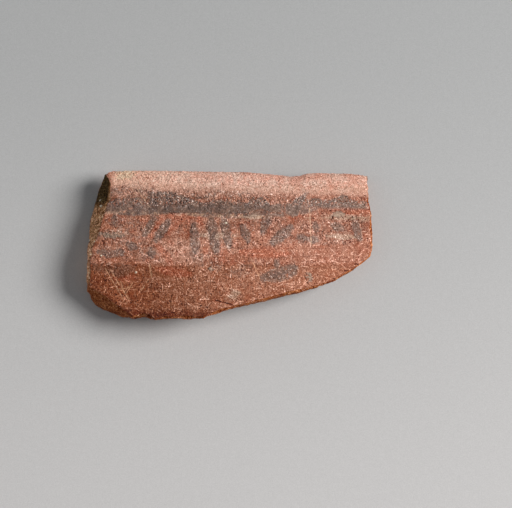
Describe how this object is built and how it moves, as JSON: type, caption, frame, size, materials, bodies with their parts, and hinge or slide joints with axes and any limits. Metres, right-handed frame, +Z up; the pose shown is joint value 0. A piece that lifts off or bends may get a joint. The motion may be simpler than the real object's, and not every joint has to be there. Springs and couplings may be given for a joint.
{
  "type": "pottery sherd",
  "caption": "Rim sherd of a coil-built terracotta bowl, lying on its hollow side, with red slip and worn dark brush painting on the outside.",
  "frame": {"origin": "on the surface that the sherd lies on, under the middle of its box", "axes": "+X along the rim, +Y towards the rim, +Z up from the hollow side to the painted face"},
  "size_m": [0.0924, 0.0497, 0.0165],
  "materials": {
    "clay": "fired orange-red terracotta, worn and gritty on the rim, darker in the broken faces",
    "red_slip": "burnished red slip with fine pale scratches",
    "inner_slip": "matt red slip, worn back from the breaks",
    "dark_paint": "thin dark grey-brown brush paint, fired and worn through",
    "lime": "dull grey-white crust of lime",
    "quartz": "pale grit grains of the clay's temper"
  },
  "bodies": {
    "root": {"rim_coil": "clay", "upper_wall_coil": "clay", "lower_wall_coil": "clay", "outer_slip": "red_slip", "inner_slip": "inner_slip", "rim_band_left": "dark_paint", "rim_band_middle": "dark_paint", "rim_band_blot": "dark_paint", "rim_band_right": "dark_paint", "lower_band_left": "dark_paint", "lower_band_right": "dark_paint", "brush_stroke_01": "dark_paint", "brush_stroke_02": "dark_paint", "brush_stroke_03": "dark_paint", "brush_stroke_04": "dark_paint", "brush_stroke_05": "dark_paint", "brush_stroke_06": "dark_paint", "brush_stroke_07": "dark_paint", "brush_stroke_08": "dark_paint", "brush_stroke_09": "dark_paint", "brush_stroke_10": "dark_paint", "brush_stroke_11": "dark_paint", "brush_stroke_12": "dark_paint", "brush_stroke_13": "dark_paint", "brush_stroke_14": "dark_paint", "brush_stroke_15": "dark_paint", "brush_stroke_16": "dark_paint", "brush_stroke_17": "dark_paint", "brush_stroke_18": "dark_paint", "brush_stroke_19": "dark_paint", "brush_stroke_20": "dark_paint", "brush_stroke_21": "dark_paint", "lime_spot_01": "lime", "lime_spot_02": "lime", "lime_spot_03": "lime", "lime_spot_04": "lime", "lime_spot_05": "lime", "temper_grain_01": "quartz", "temper_grain_02": "quartz", "temper_grain_03": "quartz", "temper_grain_04": "quartz", "temper_grain_05": "quartz", "temper_grain_06": "quartz", "temper_grain_07": "quartz", "temper_grain_08": "quartz"}
  },
  "joints": []
}
